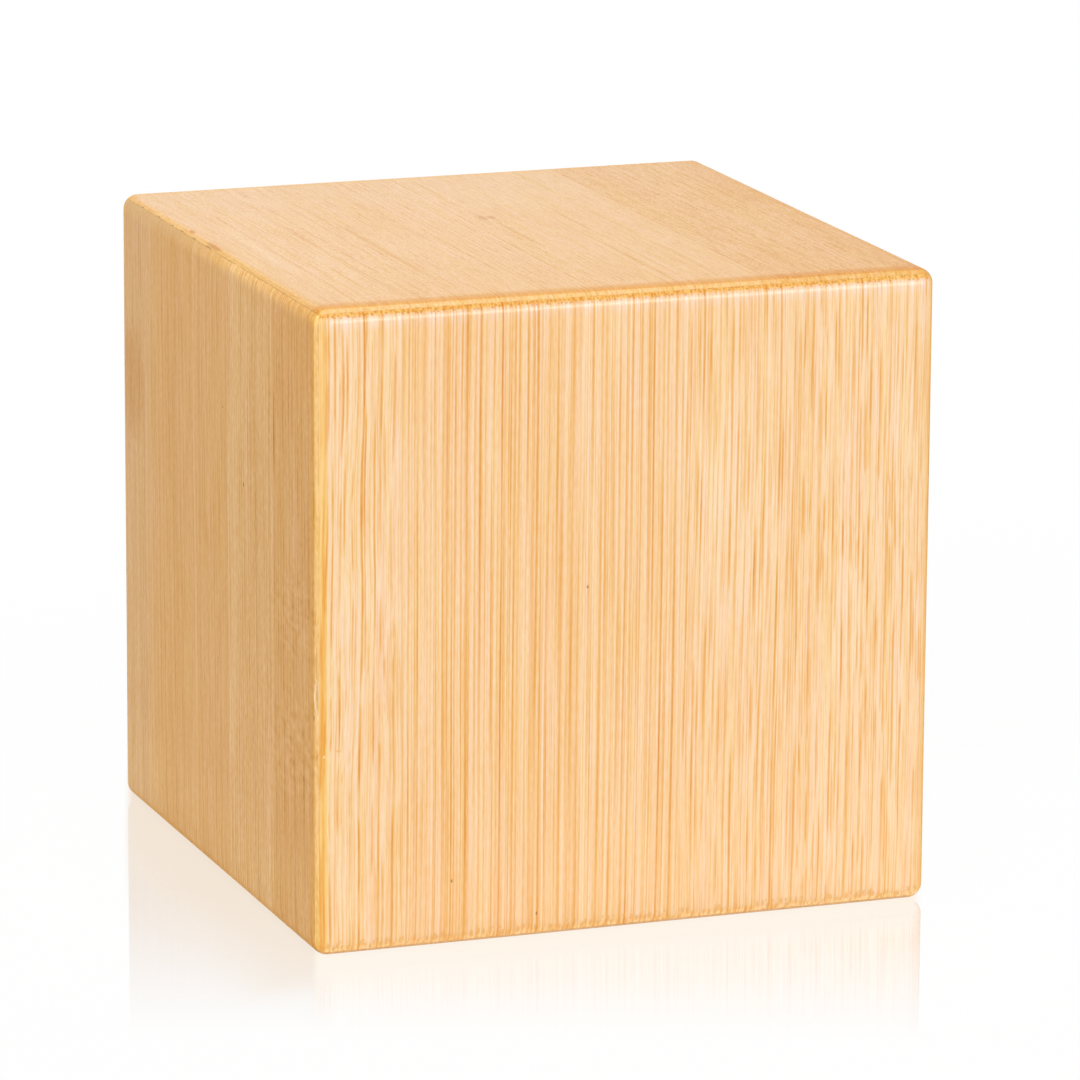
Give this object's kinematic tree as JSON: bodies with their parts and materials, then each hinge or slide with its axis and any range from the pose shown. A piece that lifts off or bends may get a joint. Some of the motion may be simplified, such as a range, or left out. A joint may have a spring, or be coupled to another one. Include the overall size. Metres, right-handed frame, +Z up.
{
  "type": "bamboo box cube",
  "caption": "Closed hollow cube of mitred bamboo panels with sanded round edges, a plain block to stand, stack or display on a desk.",
  "frame": {"origin": "middle of the face that the cube stands on", "axes": "+Z up, +X to the right as seen from the front, -Y out of the front panel"},
  "size_m": [0.06, 0.06, 0.06],
  "materials": {
    "front_bamboo": "satin varnish over upright bamboo grain with fine dark fibre lines",
    "side_bamboo": "satin varnish over upright bamboo grain, plainer and a little browner",
    "flat_bamboo": "satin varnish over bamboo grain that runs from front to back"
  },
  "bodies": {
    "root": {"front_panel": "front_bamboo", "back_panel": "front_bamboo", "left_panel": "side_bamboo", "right_panel": "side_bamboo", "top_panel": "flat_bamboo", "bottom_panel": "flat_bamboo"}
  },
  "joints": []
}
